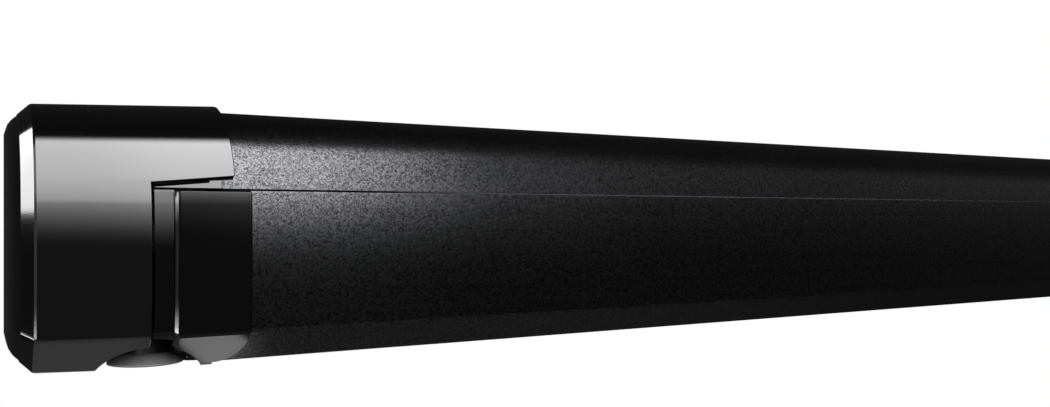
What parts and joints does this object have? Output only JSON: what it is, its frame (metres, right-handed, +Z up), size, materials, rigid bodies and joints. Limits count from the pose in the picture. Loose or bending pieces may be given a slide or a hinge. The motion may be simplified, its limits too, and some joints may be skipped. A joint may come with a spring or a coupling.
{
  "type": "roll out awning",
  "caption": "Closed camper awning: slim black wall case with domed end caps, lead rail, folding arms, cloth roller with crank gear and telescopic legs.",
  "frame": {"origin": "on the wall plane, at the middle of the length and of the height of the case", "axes": "+X along the case towards its right end, +Y into the wall, +Z up"},
  "size_m": [2.598, 0.1096, 0.1364],
  "materials": {
    "coated_alloy": "fine textured powder coat, black",
    "black_plastic": "satin moulded plastic, black",
    "painted_cast": "smooth satin paint on a casting, black",
    "cast_alloy": "die cast",
    "bare_alloy": "anodised",
    "steel": "zinc plated",
    "awning_cloth": "coated woven cloth",
    "rubber": "matt",
    "bronze": "machined",
    "button_plastic": "moulded"
  },
  "bodies": {
    "cassette": {"housing": "coated_alloy", "left_end_cap": "black_plastic", "right_end_cap": "black_plastic", "left_end_plate": "painted_cast", "right_end_plate": "painted_cast", "end_plate_screws": "steel", "gearbox_case": "cast_alloy", "idle_bush": "bronze", "seam_seal": "rubber", "left_shoulder_bracket": "cast_alloy", "right_shoulder_bracket": "cast_alloy", "shoulder_pins": "steel", "shoulder_bolts": "steel"},
    "roller": {"roller_tube": "bare_alloy", "cloth_roll": "awning_cloth", "drive_plug": "cast_alloy", "worm_wheel": "bronze", "idle_plug": "cast_alloy"},
    "crank": {"worm_shaft": "steel", "crank_bell": "black_plastic", "crank_eye": "steel"},
    "canopy": {"canopy": "awning_cloth"},
    "lead_rail": {"lead_rail": "coated_alloy", "left_rail_cap": "black_plastic", "right_rail_cap": "black_plastic", "rail_cap_screws": "steel", "left_wrist_bracket": "cast_alloy", "right_wrist_bracket": "cast_alloy", "wrist_pins": "steel", "wrist_bolts": "steel", "leg_pins": "steel"},
    "left_upper_arm": {"left_upper_arm": "coated_alloy", "left_shoulder_eye": "cast_alloy", "left_elbow_fork": "cast_alloy", "left_elbow_pin": "steel", "left_arm_spring": "steel"},
    "left_forearm": {"left_forearm": "coated_alloy", "left_elbow_eye": "cast_alloy", "left_wrist_eye": "cast_alloy"},
    "left_leg": {"left_leg_tube": "bare_alloy", "left_leg_head": "black_plastic", "left_leg_collar": "black_plastic"},
    "left_leg_button": {"left_leg_button": "button_plastic"},
    "left_leg_slide": {"left_leg_inner": "bare_alloy", "left_foot": "rubber"},
    "right_upper_arm": {"right_upper_arm": "coated_alloy", "right_shoulder_eye": "cast_alloy", "right_elbow_fork": "cast_alloy", "right_elbow_pin": "steel", "right_arm_spring": "steel"},
    "right_forearm": {"right_forearm": "coated_alloy", "right_elbow_eye": "cast_alloy", "right_wrist_eye": "cast_alloy"},
    "right_leg": {"right_leg_tube": "bare_alloy", "right_leg_head": "black_plastic", "right_leg_collar": "black_plastic"},
    "right_leg_button": {"right_leg_button": "button_plastic"},
    "right_leg_slide": {"right_leg_inner": "bare_alloy", "right_foot": "rubber"}
  },
  "joints": [
    {"name": "left_arm_swing", "type": "hinge", "parent": "cassette", "child": "left_upper_arm", "pos_m": [-1.16, -0.022, -0.037], "axis": [0, 0.1045, -0.9945], "range_deg": [0, 70]},
    {"name": "left_elbow", "type": "hinge", "parent": "left_upper_arm", "child": "left_forearm", "pos_m": [-0.1, -0.03393, -0.03825], "axis": [0, 0.1045, -0.9945], "range_deg": [-140, 0]},
    {"name": "left_wrist", "type": "hinge", "parent": "left_forearm", "child": "lead_rail", "pos_m": [-1.16, -0.04587, -0.03951], "axis": [0, 0.1045, -0.9945], "range_deg": [0, 70]},
    {"name": "right_arm_swing", "type": "hinge", "parent": "cassette", "child": "right_upper_arm", "pos_m": [1.16, -0.022, -0.037], "axis": [0, -0.1045, 0.9945], "range_deg": [0, 70]},
    {"name": "right_elbow", "type": "hinge", "parent": "right_upper_arm", "child": "right_forearm", "pos_m": [0.1, -0.03393, -0.03825], "axis": [0, -0.1045, 0.9945], "range_deg": [-140, 0]},
    {"name": "roller_turn", "type": "hinge", "parent": "cassette", "child": "roller", "pos_m": [0, -0.04, 0.022], "axis": [-1, 0, 0], "range_deg": [0, 3961]},
    {"name": "crank_turn", "type": "hinge", "parent": "cassette", "child": "crank", "pos_m": [-1.2375, -0.0735, 0], "axis": [0, 0, -1], "range_deg": [0, 33005]},
    {"name": "canopy_payout", "type": "slide", "parent": "cassette", "child": "canopy", "axis": [0, -0.9945, -0.1045], "range_m": [0, 1.97736], "deforming": ["canopy"]},
    {"name": "left_leg_swing", "type": "hinge", "parent": "lead_rail", "child": "left_leg", "pos_m": [-1.1685, -0.0742, -0.026], "axis": [0, 1, 0], "range_deg": [0, 90]},
    {"name": "left_leg_extend", "type": "slide", "parent": "left_leg", "child": "left_leg_slide", "axis": [1, 0, 0], "range_m": [0, 0.85]},
    {"name": "left_leg_button_press", "type": "slide", "parent": "left_leg", "child": "left_leg_button", "axis": [0, 0, 1], "range_m": [0, 0.0015], "stiffness_N_per_m": 300},
    {"name": "right_leg_swing", "type": "hinge", "parent": "lead_rail", "child": "right_leg", "pos_m": [1.1685, -0.0742, -0.052], "axis": [0, -1, 0], "range_deg": [0, 90]},
    {"name": "right_leg_extend", "type": "slide", "parent": "right_leg", "child": "right_leg_slide", "axis": [-1, 0, 0], "range_m": [0, 0.85]},
    {"name": "right_leg_button_press", "type": "slide", "parent": "right_leg", "child": "right_leg_button", "axis": [0, 0, 1], "range_m": [0, 0.0015], "stiffness_N_per_m": 300}
  ],
  "couplings": [
    {"joint": "left_elbow", "follows": "left_arm_swing", "ratio": -2},
    {"joint": "left_wrist", "follows": "left_arm_swing", "ratio": 1},
    {"joint": "right_arm_swing", "follows": "left_arm_swing", "ratio": 1},
    {"joint": "right_elbow", "follows": "left_arm_swing", "ratio": -2},
    {"joint": "roller_turn", "follows": "left_arm_swing", "ratio": 56.571},
    {"joint": "crank_turn", "follows": "left_arm_swing", "ratio": 471.43},
    {"joint": "canopy_payout", "follows": "left_arm_swing", "m_per_rad": 1.6177}
  ]
}
